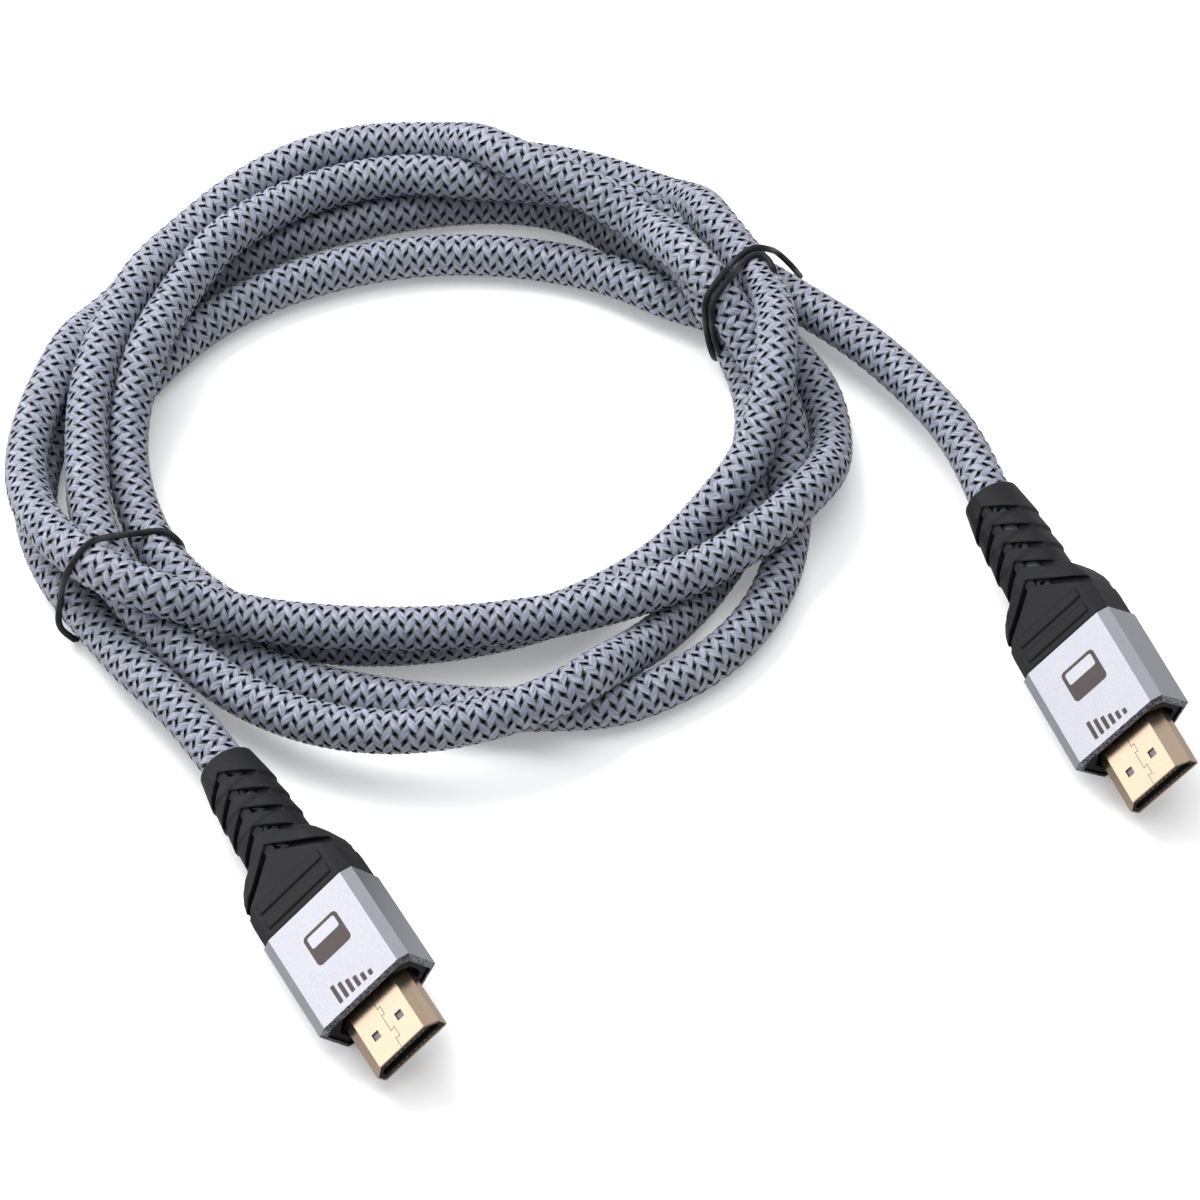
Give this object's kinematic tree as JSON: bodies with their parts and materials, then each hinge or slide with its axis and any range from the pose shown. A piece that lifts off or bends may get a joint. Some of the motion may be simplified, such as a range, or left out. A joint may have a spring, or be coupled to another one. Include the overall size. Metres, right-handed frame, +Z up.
{
  "type": "hdmi cable",
  "caption": "Braided digital audio and video cable with a flat metal plug at each end, lying as an oval coil held by two wire ties.",
  "frame": {"origin": "bottom centre of the two plugs and the two ties, on the surface that the cable lies on", "axes": "+Z up from that surface, +X from the coil to the right-hand plug as the picture shows it, +Y away from the viewer"},
  "size_m": [0.2014, 0.1988, 0.0207],
  "materials": {
    "gold_plate": "polished gold plating on sheet steel",
    "insulator": "moulded, matte",
    "inner_core": "moulded, matte",
    "aluminium_housing": "fine blasted, satin, with a polished front edge",
    "boot": "soft moulded, fine grain",
    "tie_wire": "coated wire",
    "braid": "woven braid of silver grey and black yarn"
  },
  "bodies": {
    "root": {"plug_a_shell": "gold_plate", "plug_a_insulator": "insulator", "plug_a_core": "inner_core", "plug_a_housing": "aluminium_housing", "plug_a_boot": "boot", "plug_b_shell": "gold_plate", "plug_b_insulator": "insulator", "plug_b_core": "inner_core", "plug_b_housing": "aluminium_housing", "plug_b_boot": "boot", "tie_a": "tie_wire", "tie_b": "tie_wire", "cable_coil": "braid", "cable_tail_a": "braid", "cable_tail_b": "braid"}
  },
  "joints": []
}
